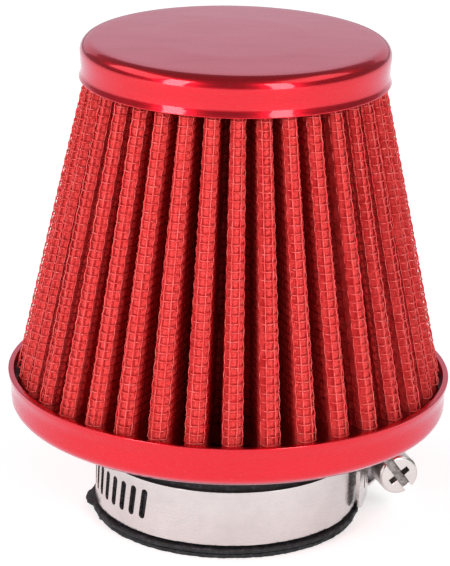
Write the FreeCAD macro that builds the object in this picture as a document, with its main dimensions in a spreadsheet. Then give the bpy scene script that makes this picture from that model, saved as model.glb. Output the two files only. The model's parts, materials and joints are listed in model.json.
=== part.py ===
"""Cone air filter with a clamp-on rubber neck, in millimetres.

The origin is the centre of the neck's mouth and +Z runs up the axis to the cap.
Azimuths are counted from -Y (the front), positive towards +X.
"""
import FreeCAD, Part
import math
import os
import Sketcher

SIZES = (
    # rubber neck
    ("bore_radius", 17.5, "bore of the neck, pushed over a 35 mm spigot"),
    ("neck_radius", 20.0, "neck under the clamp"),
    ("lip_radius", 20.9, "rib at the mouth"),
    ("bead_radius", 21.35, "bead that stops the clamp"),
    ("lip_top", 0.75, "top of the rib at the mouth"),
    ("bead_base", 1.0, "underside of the bead"),
    ("bead_top", 1.7, "top of the bead"),
    ("bevel", 0.1, "small bevel of the ribs"),
    ("collar_base", 15.0, "where the neck starts to flare"),
    ("collar_radius", 24.0, "collar under the tray floor"),
    ("collar_edge", 0.75, "edge of the collar"),
    ("grip_radius", 21.5, "groove that holds the tray floor"),
    ("flange_radius", 25.5, "flange inside the tray"),
    ("flange_thickness", 1.6, "flange inside the tray"),
    # base tray
    ("tray_bottom", 17.0, "underside of the tray"),
    ("tray_top", 23.65, "rim of the tray"),
    ("rim_radius", 34.5, "rim of the tray"),
    ("wall_radius", 34.05, "outside of the tray wall"),
    ("sheet_wall", 0.6, "sheet thickness of tray and cap floor"),
    ("lip_drop", 0.75, "height of the rolled lip on the rim"),
    ("lip_slope", 0.4, "slope under the rolled lip"),
    ("floor_hole_radius", 21.55, "hole for the neck in the tray floor"),
    ("tray_corner", 2.0, "outer corner radius of the tray"),
    ("base_seal_top", 20.3, "top of the sealant in the tray"),
    ("base_seal_radius", 20.5, "inner edge of the sealant in the tray"),
    ("seal_gap", 0.02, "clearance around the cast sealant"),
    # cap
    ("cap_bottom", 70.3, "edge of the cap skirt"),
    ("cap_edge_top", 76.3, "flat of the cap at its edge"),
    ("cap_crown", 0.3, "rise of the cap at its centre"),
    ("cap_flat_radius", 22.4, "flat of the cap"),
    ("cap_bulge_radius", 23.75, "skirt below the corner"),
    ("cap_waist_radius", 23.6, "waist of the skirt"),
    ("cap_mouth_radius", 23.75, "edge of the skirt"),
    ("cap_bulge_drop", 1.3, "corner height of the cap"),
    ("cap_waist_drop", 3.8, "waist below the flat"),
    ("cap_wall", 0.5, "sheet thickness of the cap"),
    ("cap_seal_bottom", 71.5, "underside of the sealant in the cap"),
    ("cap_seal_radius", 23.0, "edge of the sealant in the cap"),
    # pleated pack, measured in the plane of the tray rim
    ("pleats", 36, "number of pleats"),
    ("pleat_phase", 1.0, "azimuth of the first pleat in degrees"),
    ("tip_radius", 33.25, "tips of the outer screen"),
    ("root_radius", 23.9, "roots of the outer screen"),
    ("tip_half_width", 1.75, "half the width of a pleat"),
    ("valley_half_width", 0.35, "half the width of a valley at its root"),
    ("tip_shoulder", 0.6, "rounded shoulder of a pleat tip"),
    ("pack_taper", 0.2178, "radius lost per millimetre of height at the tips"),
    ("screen_thickness", 0.2, "wire screens"),
    ("screen_gap", 0.12, "outer screen to gauze"),
    ("tip_standoff", 0.45, "extra room under the screen at the tips"),
    ("gauze_thickness", 0.18, "one layer of cotton gauze"),
    ("layer_gap", 0.02, "between the layers"),
    ("gauze_layers", 4, "layers of cotton gauze"),
    ("screen_bottom", 23.9, "cut edge of the outer screen"),
    ("clip_width", 3.0, "seam clip"),
    ("clip_thickness", 0.4, "seam clip"),
    ("clip_margin", 0.15, "room at the ends and behind the seam clip"),
    ("clip_azimuth", 186.0, "seam clip, on a valley at the back"),
    # clamp
    ("band_bottom", 2.1, "lower edge of the band"),
    ("band_width", 8.7, "band"),
    ("band_thickness", 0.6, "band"),
    ("band_clearance", 0.1, "band to neck"),
    ("slot_pitch", 2.235, "worm slots along the band"),
    ("slot_length", 5.0, "worm slot"),
    ("slot_rise", 0.4, "worm slots above the middle of the band"),
    ("slot_width", 1.15, "worm slot"),
    ("slot_lean", 8.0, "lean of the slots in degrees"),
    ("first_slot_azimuth", -37.6, "first worm slot"),
    ("slots", 40, "number of worm slots"),
    ("tail_azimuth", 72.0, "free end of the band"),
    ("tail_radius", 21.75, "centre line of the band at its free end"),
    ("tail_corner", 2.4, "rounded corners of the free end"),
    ("fixed_end_angle", 9.0, "fixed end of the band, past the middle of the housing"),
    ("climb_angle", 60.0, "stretch in which the band leaves the neck, in degrees"),
    ("settle_angle", 21.0, "stretch in which the free end comes down again, in degrees"),
    ("housing_azimuth", 107.5, "middle of the worm housing"),
    ("screw_offset", 25.65, "screw axis to filter axis"),
    ("crest_radius", 2.5, "thread crest"),
    ("thread_root_radius", 1.95, "thread root"),
    ("crest_gap", 0.1, "thread crest to band"),
    ("barrel_clearance", 0.1, "thread crest to housing"),
    ("housing_length", 10.8, "housing along the screw"),
    ("housing_wall", 0.5, "sheet thickness of the housing"),
    ("leg_clearance", 0.15, "band edge to housing leg"),
    ("leg_reach", 4.1, "housing legs below the screw axis"),
    ("leg_setback", 3.2, "housing legs behind the front of the barrel"),
    ("leg_slant", 1.2, "feet of the legs further back than their tops"),
    ("shoulder_drop", 1.9, "housing shoulder below the screw axis"),
    ("rear_hole_radius", 1.6, "hole in the rear wall of the housing"),
    ("stub_radius", 1.5, "stub of the screw in the rear wall"),
    ("rivet_radius", 2.0, "spread end of the screw"),
    ("rivet_length", 0.5, "spread end of the screw"),
    ("end_play", 0.3, "axial play of the screw"),
    ("head_radius", 3.2, "screw head"),
    ("head_length", 4.3, "screw head"),
    ("head_bevel", 0.35, "screw head"),
    ("drive_depth", 1.7, "screw drive recess"),
    ("drive_slot_width", 1.3, "wide arm of the drive recess"),
    ("drive_arm_width", 0.9, "narrow arm of the drive recess"),
    ("drive_arm_length", 3.6, "narrow arm of the drive recess"),
    ("drive_angle", 36.0, "wide arm of the drive recess from the vertical, degrees"),
    ("saddle_gap", 0.05, "saddle to band and housing"),
)

DOC = FreeCAD.newDocument("cone_air_filter")
SHEET = DOC.addObject("Spreadsheet::Sheet", "Sizes")
DEGREE = math.pi / 180.0
UP = FreeCAD.Vector(0, 0, 1)


def fill_sheet():
    """Write the driving dimensions, one alias per row."""
    for row, (alias, number, note) in enumerate(SIZES, start=1):
        SHEET.set("A%d" % row, note)
        SHEET.set("B%d" % row, str(number))
        SHEET.setAlias("B%d" % row, alias)
    DOC.recompute()


def size(alias):
    """One driving dimension as a plain number."""
    return float(SHEET.get(alias))


def number(expression):
    """The present value of an expression on the sheet."""
    value = SHEET.evalExpression(expression.replace("Sizes.", ""))
    return float(getattr(value, "Value", value))


def origin_plane(body, role):
    """The body's own origin plane with the given role."""
    return next(item for item in body.Origin.OriginFeatures if item.Role == role)


def new_sketch(body, name, role, lift=0.0):
    """An empty sketch on one of the body's origin planes."""
    sketch = body.newObject("Sketcher::SketchObject", name)
    sketch.AttachmentSupport = [(origin_plane(body, role), "")]
    sketch.MapMode = "FlatFace"
    sketch.AttachmentOffset = FreeCAD.Placement(FreeCAD.Vector(0, 0, lift), FreeCAD.Rotation())
    return sketch


def pin_corner(sketch, edge, across, up):
    """Bind the start of an edge to two expressions, measured from the sketch origin."""
    for kind, axis, expression in (("DistanceX", -2, across), ("DistanceY", -1, up)):
        value = number(expression)
        if value == 0:
            sketch.addConstraint(Sketcher.Constraint("PointOnObject", edge, 1, axis))
            continue
        index = sketch.addConstraint(Sketcher.Constraint(kind, -1, 1, edge, 1, value))
        name = "%s_%d" % (kind, edge)
        sketch.renameConstraint(index, name)
        sketch.setExpression("Constraints." + name, expression)


def closed_outline(sketch, corners):
    """Straight edges through corners that are pairs of expressions."""
    points = [FreeCAD.Vector(number(across), number(up), 0) for across, up in corners]
    count = len(points)
    for edge in range(count):
        sketch.addGeometry(Part.LineSegment(points[edge], points[(edge + 1) % count]))
    for edge in range(count):
        sketch.addConstraint(Sketcher.Constraint("Coincident", edge, 2, (edge + 1) % count, 1))
    for edge, (across, up) in enumerate(corners):
        pin_corner(sketch, edge, across, up)


def turned_body(name, corners):
    """A body turned about its own Z axis from (radius, height) corners."""
    body = DOC.addObject("PartDesign::Body", name)
    body.Label = name
    sketch = new_sketch(body, name + "_profile", "XZ_Plane")
    closed_outline(sketch, corners)
    turned = body.newObject("PartDesign::Revolution", name + "_turned")
    turned.Profile = sketch
    turned.ReferenceAxis = (sketch, ["V_Axis"])
    turned.Angle = 360
    sketch.Visibility = False
    DOC.recompute()
    return body


def round_edges(body, places, radius):
    """Fillet the body's circular edges that lie at the given (radius, height) places."""
    base = body.Tip
    wanted = [(number(across), number(up)) for across, up in places]
    names = []
    for index, edge in enumerate(base.Shape.Edges, start=1):
        if not isinstance(edge.Curve, Part.Circle):
            continue
        for across, up in wanted:
            if abs(edge.Curve.Radius - across) < 0.01 and abs(edge.Curve.Center.z - up) < 0.01:
                names.append("Edge%d" % index)
    fillet = body.newObject("PartDesign::Fillet", body.Label + "_round")
    fillet.Base = (base, names)
    fillet.Radius = number(radius)
    fillet.setExpression("Radius", radius)
    DOC.recompute()


def add_feature(name, shape, placement=None):
    """Keep a shape made by Part's own functions as a sub-part."""
    feature = DOC.addObject("Part::Feature", name)
    feature.Label = name
    feature.Shape = shape
    feature.Placement = placement or FreeCAD.Placement()
    return feature


# ---------------------------------------------------------------- neck, tray and cap


def rubber_neck():
    """Moulded neck: ribs at the mouth, clamp seat, grooved collar and inner flange."""
    return turned_body("rubber_neck", [
        ("Sizes.bore_radius", "0"),
        ("Sizes.lip_radius", "0"),
        ("Sizes.lip_radius", "Sizes.lip_top"),
        ("Sizes.lip_radius - 4 * Sizes.bevel", "Sizes.lip_top + Sizes.bevel"),
        ("Sizes.lip_radius - 4 * Sizes.bevel", "Sizes.bead_base - Sizes.bevel"),
        ("Sizes.bead_radius", "Sizes.bead_base"),
        ("Sizes.bead_radius", "Sizes.bead_top"),
        ("Sizes.neck_radius", "Sizes.bead_top + Sizes.bevel"),
        ("Sizes.neck_radius", "Sizes.collar_base"),
        ("Sizes.collar_radius", "Sizes.tray_bottom - Sizes.collar_edge"),
        ("Sizes.collar_radius", "Sizes.tray_bottom"),
        ("Sizes.grip_radius", "Sizes.tray_bottom"),
        ("Sizes.grip_radius", "Sizes.tray_bottom + Sizes.sheet_wall"),
        ("Sizes.flange_radius", "Sizes.tray_bottom + Sizes.sheet_wall"),
        ("Sizes.flange_radius", "Sizes.tray_bottom + Sizes.sheet_wall + Sizes.flange_thickness"),
        ("Sizes.bore_radius", "Sizes.tray_bottom + Sizes.sheet_wall + Sizes.flange_thickness"),
    ])


def base_ring():
    """Pressed tray with a rolled lip and a hole for the neck."""
    body = turned_body("base_ring", [
        ("Sizes.floor_hole_radius", "Sizes.tray_bottom"),
        ("Sizes.wall_radius", "Sizes.tray_bottom"),
        ("Sizes.wall_radius", "Sizes.tray_top - Sizes.lip_drop - Sizes.lip_slope"),
        ("Sizes.rim_radius", "Sizes.tray_top - Sizes.lip_drop"),
        ("Sizes.rim_radius", "Sizes.tray_top"),
        ("Sizes.wall_radius - Sizes.sheet_wall", "Sizes.tray_top"),
        ("Sizes.wall_radius - Sizes.sheet_wall", "Sizes.tray_bottom + Sizes.sheet_wall"),
        ("Sizes.floor_hole_radius", "Sizes.tray_bottom + Sizes.sheet_wall"),
    ])
    round_edges(body, [("Sizes.wall_radius", "Sizes.tray_bottom")], "Sizes.tray_corner")
    inner_corner = [("Sizes.wall_radius - Sizes.sheet_wall", "Sizes.tray_bottom + Sizes.sheet_wall")]
    round_edges(body, inner_corner, "Sizes.tray_corner - Sizes.sheet_wall")
    return body


def base_sealant():
    """Cast ring in the tray that holds the foot of the pleats over the neck's flange."""
    wall = "Sizes.wall_radius - Sizes.sheet_wall - Sizes.seal_gap"
    floor = "Sizes.tray_bottom + Sizes.sheet_wall"
    flange = "Sizes.tray_bottom + Sizes.sheet_wall + Sizes.flange_thickness"
    corner = " - Sizes.tray_corner + Sizes.sheet_wall"
    rise = " + Sizes.tray_corner - Sizes.sheet_wall"
    return turned_body("base_sealant", [
        ("Sizes.base_seal_radius", flange),
        ("Sizes.flange_radius", flange),
        ("Sizes.flange_radius", floor),
        (wall + corner, floor),
        (wall, floor + rise),
        (wall, "Sizes.base_seal_top"),
        ("Sizes.base_seal_radius", "Sizes.base_seal_top"),
    ])


def top_cap():
    """Pressed cap: slightly crowned top, rounded corner, waisted skirt."""
    body = turned_body("top_cap", [
        ("0", "Sizes.cap_edge_top + Sizes.cap_crown"),
        ("Sizes.cap_flat_radius", "Sizes.cap_edge_top"),
        ("Sizes.cap_bulge_radius", "Sizes.cap_edge_top - Sizes.cap_bulge_drop"),
        ("Sizes.cap_waist_radius", "Sizes.cap_edge_top - Sizes.cap_waist_drop"),
        ("Sizes.cap_mouth_radius", "Sizes.cap_bottom"),
        ("Sizes.cap_mouth_radius - Sizes.cap_wall", "Sizes.cap_bottom"),
        ("Sizes.cap_waist_radius - Sizes.cap_wall", "Sizes.cap_edge_top - Sizes.cap_waist_drop"),
        ("Sizes.cap_bulge_radius - Sizes.cap_wall", "Sizes.cap_edge_top - Sizes.cap_bulge_drop"),
        ("Sizes.cap_flat_radius - Sizes.cap_wall / 2", "Sizes.cap_edge_top - Sizes.cap_wall"),
        ("0", "Sizes.cap_edge_top + Sizes.cap_crown - Sizes.cap_wall"),
    ])
    edge = [("Sizes.cap_flat_radius", "Sizes.cap_edge_top")]
    edge.append(("Sizes.cap_bulge_radius", "Sizes.cap_edge_top - Sizes.cap_bulge_drop"))
    round_edges(body, edge, "Sizes.cap_bulge_drop * 0.7")
    return body


def cap_sealant():
    """Cast disc in the cap that holds the head of the pleats."""
    top = "Sizes.cap_edge_top - Sizes.cap_wall - Sizes.seal_gap"
    return turned_body("cap_sealant", [
        ("0", "Sizes.cap_seal_bottom"),
        ("Sizes.cap_seal_radius", "Sizes.cap_seal_bottom"),
        ("Sizes.cap_seal_radius", "Sizes.cap_edge_top - Sizes.cap_bulge_drop"),
        ("Sizes.cap_flat_radius - Sizes.cap_wall / 2 - 2 * Sizes.seal_gap", top),
        ("0", top),
    ])


# ---------------------------------------------------------------- pleated pack


def toward(azimuth):
    """Unit vector in the plan at an azimuth, and the one a quarter turn further."""
    angle = azimuth * DEGREE
    out = FreeCAD.Vector(math.sin(angle), -math.cos(angle), 0)
    side = FreeCAD.Vector(math.cos(angle), math.sin(angle), 0)
    return out, side


def pleat_outline(depth, standoff):
    """Plan of a pleated surface, set in by depth all over and by standoff at the tips."""
    half_width = size("tip_half_width") - depth
    shoulder = size("tip_shoulder") * half_width / size("tip_half_width")
    tip = size("tip_radius") - depth - standoff
    root = size("root_radius") - depth
    valley = size("valley_half_width") + depth
    pitch = 360.0 / size("pleats")
    points = []
    for pleat in range(int(size("pleats"))):
        azimuth = size("pleat_phase") + pleat * pitch
        out, side = toward(azimuth)
        points.append(out * (tip - shoulder) - side * half_width)
        points.append(out * tip - side * (half_width - shoulder))
        points.append(out * tip + side * (half_width - shoulder))
        points.append(out * (tip - shoulder) + side * half_width)
        out, side = toward(azimuth + pitch / 2)
        points.append(out * root - side * valley)
        points.append(out * root + side * valley)
    return points


def taper_at(height):
    """The pack shrinks towards an apex on the axis: its scale at a height."""
    run = size("tip_radius") / size("pack_taper")
    return (run - (height - size("tray_top"))) / run


def outline_at(points, height):
    """The plan outline, scaled and lifted to a height."""
    scale = taper_at(height)
    return [FreeCAD.Vector(p.x * scale, p.y * scale, height) for p in points]


def flat_face(corners):
    """A plane face through corners in order."""
    return Part.Face(Part.makePolygon(corners + corners[:1]))


def pleated_sheet(name, depth, thickness, standoff, bottom, top):
    """A folded sheet between two heights, drawn as one conical shell of flat panels."""
    faces = []
    ends = {bottom: [], top: []}
    for surface in (pleat_outline(depth, standoff), pleat_outline(depth + thickness, standoff)):
        low = outline_at(surface, bottom)
        high = outline_at(surface, top)
        for index in range(len(low)):
            after = (index + 1) % len(low)
            faces.append(flat_face([low[index], low[after], high[after], high[index]]))
        ends[bottom].append(Part.makePolygon(low + low[:1]))
        ends[top].append(Part.makePolygon(high + high[:1]))
    for wires in ends.values():
        faces.append(Part.makeFace(wires, "Part::FaceMakerBullseye"))
    shell = Part.makeShell(faces)
    shell.sewShape()
    solid = Part.makeSolid(shell)
    if solid.Volume < 0:
        solid.reverse()
    return add_feature(name, solid)


def pleated_pack():
    """Outer screen, gauze layers and inner screen, folded together."""
    foot = size("base_seal_top")
    head = size("cap_seal_bottom")
    screen = size("screen_thickness")
    gauze = size("gauze_thickness")
    standoff = size("tip_standoff")
    sheets = [pleated_sheet("outer_screen", 0.0, screen, 0.0, size("screen_bottom"), head)]
    depth = screen + size("screen_gap")
    for layer in range(1, int(size("gauze_layers")) + 1):
        sheets.append(pleated_sheet("gauze_layer_%d" % layer, depth, gauze, standoff, foot, head))
        depth += gauze + size("layer_gap")
    sheets.append(pleated_sheet("inner_screen", depth, screen, standoff, foot, head))
    return sheets


def pack_depth():
    """Depth of the whole stack of screens and gauze."""
    layers = size("gauze_layers") * (size("gauze_thickness") + size("layer_gap"))
    return 2 * size("screen_thickness") + size("screen_gap") + layers


def seam_clip():
    """Flat strip that joins the two ends of the folded pack along one valley."""
    margin = size("clip_margin")
    out, side = toward(size("clip_azimuth"))
    half = side * (size("clip_width") / 2)
    corners = []
    for height in (size("base_seal_top") + margin, size("cap_seal_bottom") - margin):
        reach = (size("root_radius") - pack_depth()) * taper_at(height) - margin
        level = UP * height
        corners.append([out * reach - half + level, out * reach + half + level])
        inner = out * (reach - size("clip_thickness"))
        corners[-1] += [inner + half + level, inner - half + level]
    low, high = corners
    faces = [flat_face(low), flat_face(high)]
    for index in range(4):
        after = (index + 1) % 4
        faces.append(flat_face([low[index], low[after], high[after], high[index]]))
    solid = Part.makeSolid(Part.makeShell(faces))
    if solid.Volume < 0:
        solid.reverse()
    return add_feature("seam_clip", solid)


# ---------------------------------------------------------------- clamp


def clamp_frame(tip_axis=False):
    """Frame at the middle of the screw: X outward, Y along the screw away from its head."""
    turn = FreeCAD.Rotation(UP, size("housing_azimuth") - 90.0)
    middle = size("band_bottom") + size("band_width") / 2
    place = FreeCAD.Placement(turn.multVec(FreeCAD.Vector(size("screw_offset"), 0, 0)), turn)
    place.Base = place.Base + UP * middle
    if tip_axis:
        stand = FreeCAD.Rotation(FreeCAD.Vector(1, 0, 0), 90.0)
        place = place.multiply(FreeCAD.Placement(FreeCAD.Vector(), stand))
    return place


def smooth(share):
    """Ease from 0 to 1."""
    share = min(max(share, 0.0), 1.0)
    return share * share * (3.0 - 2.0 * share)


def pass_radius():
    """Centre line radius of the free end where it passes under the worm."""
    clear = size("crest_radius") + size("crest_gap") + size("band_thickness") / 2
    return size("screw_offset") - clear


def band_radius(angle):
    """Centre line radius of the band, at an angle travelled from under the housing.

    The angle runs from the housing round the front and back to the housing at 360 degrees,
    where the free end passes over the saddle, and on into the tail.
    """
    seat = size("neck_radius") + size("band_clearance") + size("band_thickness") / 2
    over = pass_radius()
    past = angle - 360.0
    if past < 0:
        covered = math.asin(size("housing_length") / 2 / over) / DEGREE
        return seat + (over - seat) * smooth((past + covered) / size("climb_angle") + 1)
    astride = size("housing_length") / 2 - size("leg_setback")
    covered = math.asin(astride / over) / DEGREE
    return over + (size("tail_radius") - over) * smooth((past - covered) / size("settle_angle"))


def band_point(angle):
    """Point of the band's centre line, in the plane of the neck's mouth."""
    return toward(size("housing_azimuth") - angle)[0] * band_radius(angle)


def band_normal(angle):
    """Outward normal of the band's centre line."""
    along = band_point(angle + 0.05) - band_point(angle - 0.05)
    normal = FreeCAD.Vector(-along.y, along.x, 0)
    normal.normalize()
    return normal


def spline_edge(points):
    """A smooth edge through points."""
    curve = Part.BSplineCurve()
    curve.interpolate(points)
    return curve.toShape()


def worm_slot(angle):
    """Cutter for one slanted slot through the band."""
    length = size("slot_length")
    width = size("slot_width")
    through = 4 * size("band_thickness")
    straight = length - width
    cutter = Part.makeBox(through, width, straight, FreeCAD.Vector(-through / 2, -width / 2, -straight / 2))
    for end in (-straight / 2, straight / 2):
        base = FreeCAD.Vector(-through / 2, 0, end)
        cutter = cutter.fuse(Part.makeCylinder(width / 2, through, base, FreeCAD.Vector(1, 0, 0)))
    lean = FreeCAD.Rotation(FreeCAD.Vector(1, 0, 0), -size("slot_lean"))
    face = FreeCAD.Rotation(FreeCAD.Vector(1, 0, 0), band_normal(angle))
    middle = size("band_bottom") + size("band_width") / 2 + size("slot_rise")
    cutter.Placement = FreeCAD.Placement(band_point(angle) + UP * middle, face.multiply(lean))
    return cutter


def slot_angles():
    """Angles of the slots, one pitch apart along the band."""
    angle = size("housing_azimuth") - size("first_slot_azimuth")
    angles = [angle]
    while len(angles) < int(size("slots")):
        angle += size("slot_pitch") / band_radius(angle) / DEGREE
        angles.append(angle)
    return angles


def clamp_band():
    """Steel strip once round the neck, its slotted end passing over the fixed end."""
    start = -size("fixed_end_angle")
    end = 360.0 + size("housing_azimuth") - size("tail_azimuth")
    steps = 140
    half = size("band_thickness") / 2
    sides = {-half: [], half: []}
    for step in range(steps + 1):
        angle = start + (end - start) * step / steps
        for offset, points in sides.items():
            points.append(band_point(angle) + band_normal(angle) * offset + UP * size("band_bottom"))
    inner, outer = sides[-half], sides[half]
    edges = [spline_edge(inner), Part.makeLine(inner[-1], outer[-1])]
    edges += [spline_edge(outer), Part.makeLine(outer[0], inner[0])]
    strip = Part.Face(Part.Wire(Part.__sortEdges__(edges))).extrude(UP * size("band_width"))
    tail = (inner[-1] + outer[-1]) * 0.5 + UP * (size("band_width") / 2)
    corners = []
    for edge in strip.Edges:
        short = abs(edge.Length - size("band_thickness")) < 0.05
        if short and (edge.CenterOfMass - tail).Length < size("band_width") * 0.55:
            corners.append(edge)
    strip = strip.makeFillet(size("tail_corner"), corners)
    return add_feature("clamp_band", strip.cut([worm_slot(angle) for angle in slot_angles()]))


def barrel_outline(sketch, radius, half_width, reach):
    """Housing section: half round over the screw, shoulders, then straight legs."""
    arc = Part.ArcOfCircle(Part.Circle(FreeCAD.Vector(), UP, number(radius)), -math.pi / 2, math.pi / 2)
    corners = [("0", radius), ("-Sizes.shoulder_drop", half_width), ("-(" + reach + ")", half_width)]
    corners += [("-(" + reach + ")", "-(" + half_width + ")")]
    corners += [("-Sizes.shoulder_drop", "-(" + half_width + ")"), ("0", "-(" + radius + ")")]
    points = [FreeCAD.Vector(number(across), number(up), 0) for across, up in corners]
    for first, second in zip(points, points[1:]):
        sketch.addGeometry(Part.LineSegment(first, second))
    arc_id = sketch.addGeometry(arc)
    for edge in range(len(points) - 2):
        sketch.addConstraint(Sketcher.Constraint("Coincident", edge, 2, edge + 1, 1))
    sketch.addConstraint(Sketcher.Constraint("Coincident", len(points) - 2, 2, arc_id, 1))
    sketch.addConstraint(Sketcher.Constraint("Coincident", arc_id, 2, 0, 1))
    sketch.addConstraint(Sketcher.Constraint("Coincident", arc_id, 3, -1, 1))
    for edge, (across, up) in enumerate(corners[:-1]):
        pin_corner(sketch, edge, across, up)


def through_both_ways(feature, length):
    """Centre a pad or pocket on its sketch plane."""
    feature.Midplane = True
    feature.Length = number(length)
    feature.setExpression("Length", length)


def clamp_housing():
    """Pressed worm housing: barrel, set-back legs astride the band and a drilled rear wall."""
    body = DOC.addObject("PartDesign::Body", "clamp_housing")
    body.Label = "clamp_housing"
    bore = "Sizes.crest_radius + Sizes.barrel_clearance"
    leg = "Sizes.band_width / 2 + Sizes.leg_clearance"
    outside = new_sketch(body, "housing_outside", "XZ_Plane")
    wall = " + Sizes.housing_wall"
    barrel_outline(outside, bore + wall, leg + wall, "Sizes.leg_reach")
    block = body.newObject("PartDesign::Pad", "housing_block")
    block.Profile = outside
    through_both_ways(block, "Sizes.housing_length")
    DOC.recompute()
    inside = new_sketch(body, "housing_inside", "XZ_Plane")
    barrel_outline(inside, bore, leg, "Sizes.leg_reach + 1")
    hollow = body.newObject("PartDesign::Pocket", "housing_hollow")
    hollow.Profile = inside
    through_both_ways(hollow, "Sizes.housing_length + 2")
    DOC.recompute()
    front = new_sketch(body, "housing_front", "XY_Plane")
    foot, nose = "-(Sizes.leg_reach + 1)", "-(Sizes.housing_length / 2 + 1)"
    top = "-(Sizes.housing_length / 2 - Sizes.leg_setback)"
    closed_outline(front, [(foot, nose), ("0", nose), ("0", top), (foot, top + " + Sizes.leg_slant")])
    setback = body.newObject("PartDesign::Pocket", "housing_leg_setback")
    setback.Profile = front
    through_both_ways(setback, "Sizes.band_width + 4")
    DOC.recompute()
    behind = size("housing_length") / 2 - size("housing_wall")
    rear = new_sketch(body, "housing_rear", "XZ_Plane", -behind)
    overlap = " + Sizes.housing_wall / 2"
    barrel_outline(rear, bore + overlap, leg + overlap, "Sizes.shoulder_drop" + overlap)
    hole = rear.addGeometry(Part.Circle(FreeCAD.Vector(), UP, size("rear_hole_radius")))
    rear.addConstraint(Sketcher.Constraint("Coincident", hole, 3, -1, 1))
    limit = rear.addConstraint(Sketcher.Constraint("Radius", hole, size("rear_hole_radius")))
    rear.renameConstraint(limit, "hole_radius")
    rear.setExpression("Constraints.hole_radius", "Sizes.rear_hole_radius")
    plate = body.newObject("PartDesign::Pad", "housing_rear_wall")
    plate.Profile = rear
    plate.Reversed = True
    plate.Length = size("housing_wall")
    plate.setExpression("Length", "Sizes.housing_wall")
    body.Placement = clamp_frame()
    DOC.recompute()
    return body


def clamp_saddle():
    """Bridge between the fixed end of the band and the free end that slides over it."""
    foot = size("neck_radius") + size("band_clearance") + size("band_thickness") + size("saddle_gap")
    top = pass_radius() - size("band_thickness") / 2 - size("saddle_gap")
    half = size("band_width") / 2 + size("leg_clearance") - size("saddle_gap")
    near = size("leg_setback") + size("leg_slant") - size("housing_length") / 2
    far = size("housing_length") / 2 - size("housing_wall") - size("saddle_gap")
    base = FreeCAD.Vector(0, 0, -half)
    block = Part.makeBox(top, far - near, 2 * half, FreeCAD.Vector(0, near, -half))
    block = block.common(Part.makeCylinder(top, 2 * half, base))
    block = block.cut(Part.makeCylinder(foot, 2 * half, base))
    place = clamp_frame()
    place.Base = UP * place.Base.z
    return add_feature("clamp_saddle", block, place)


def thread_corners():
    """Trapezoid crests at the slot pitch, from the rear of the shank to the front."""
    corners = []
    for crest in range(-2, 2):
        middle = "%d * Sizes.slot_pitch + Sizes.slot_pitch / 2" % crest
        for step, radius in ((-0.35, "thread_root"), (-0.18, "crest"), (0.18, "crest"), (0.35, "thread_root")):
            height = "%s + (%s) * Sizes.slot_pitch" % (middle, step)
            corners.append(("Sizes.%s_radius" % radius, height))
    return corners


def clamp_screw():
    """Worm screw: riveted stub, threaded shank and round head with a combined drive."""
    half = "Sizes.housing_length / 2"
    body = turned_body("clamp_screw", [
        ("0", "-(%s + Sizes.end_play + Sizes.rivet_length)" % half),
        ("Sizes.rivet_radius", "-(%s + Sizes.end_play + Sizes.rivet_length)" % half),
        ("Sizes.rivet_radius", "-(%s + Sizes.end_play)" % half),
        ("Sizes.stub_radius", "-(%s + Sizes.end_play)" % half),
        ("Sizes.stub_radius", "-(%s - Sizes.housing_wall - Sizes.end_play)" % half),
        ("Sizes.thread_root_radius", "-(%s - Sizes.housing_wall - Sizes.end_play)" % half),
    ] + thread_corners() + [
        ("Sizes.thread_root_radius", "%s - Sizes.housing_wall" % half),
        ("Sizes.crest_radius", "%s - Sizes.housing_wall" % half),
        ("Sizes.crest_radius", "%s + Sizes.end_play" % half),
        ("Sizes.head_radius", "%s + Sizes.end_play" % half),
        ("Sizes.head_radius", "%s + Sizes.end_play + Sizes.head_length - Sizes.head_bevel" % half),
        ("Sizes.head_radius - Sizes.head_bevel", "%s + Sizes.end_play + Sizes.head_length" % half),
        ("0", "%s + Sizes.end_play + Sizes.head_length" % half),
    ])
    face = size("housing_length") / 2 + size("end_play") + size("head_length")
    arms = (
        ("drive_slot", "Sizes.drive_slot_width / 2", "Sizes.head_radius + 1"),
        ("drive_arm", "Sizes.drive_arm_length / 2", "Sizes.drive_arm_width / 2"),
    )
    for name, across, up in arms:
        before = body.Shape.Volume
        sketch = new_sketch(body, name, "XY_Plane", face)
        corners = [(across, up), ("-(%s)" % across, up), ("-(%s)" % across, "-(%s)" % up)]
        closed_outline(sketch, corners + [(across, "-(%s)" % up)])
        pocket = body.newObject("PartDesign::Pocket", name + "_pocket")
        pocket.Profile = sketch
        pocket.Length = size("drive_depth")
        pocket.setExpression("Length", "Sizes.drive_depth")
        DOC.recompute()
        if body.Shape.Volume >= before - 0.5:
            raise RuntimeError(name + " removed nothing")
    spin = FreeCAD.Rotation(UP, size("drive_angle"))
    body.Placement = clamp_frame(tip_axis=True).multiply(FreeCAD.Placement(FreeCAD.Vector(), spin))
    DOC.recompute()
    return body


# ---------------------------------------------------------------- assembly


def check_document():
    """Stop if any object of the document failed to build."""
    for item in DOC.Objects:
        if "Invalid" in item.State or "Error" in item.State:
            raise RuntimeError("%s: %s" % (item.Name, item.State))


def export(parts):
    """Write one STEP file per sub-part."""
    os.makedirs("parts", exist_ok=True)
    for item in parts:
        shape = item.Shape
        if shape.isNull() or not shape.isValid() or len(shape.Solids) != 1:
            raise RuntimeError("%s is not one valid solid" % item.Label)
        shape.exportStep("parts/%s.step" % item.Label)
        print("%-16s %8.1f mm3 %4d faces" % (item.Label, shape.Volume, len(shape.Faces)))


fill_sheet()
PARTS = [rubber_neck(), base_ring(), base_sealant(), top_cap(), cap_sealant()]
PARTS += pleated_pack()
PARTS += [seam_clip(), clamp_band(), clamp_housing(), clamp_saddle(), clamp_screw()]
DOC.recompute()
check_document()
export(PARTS)
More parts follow.
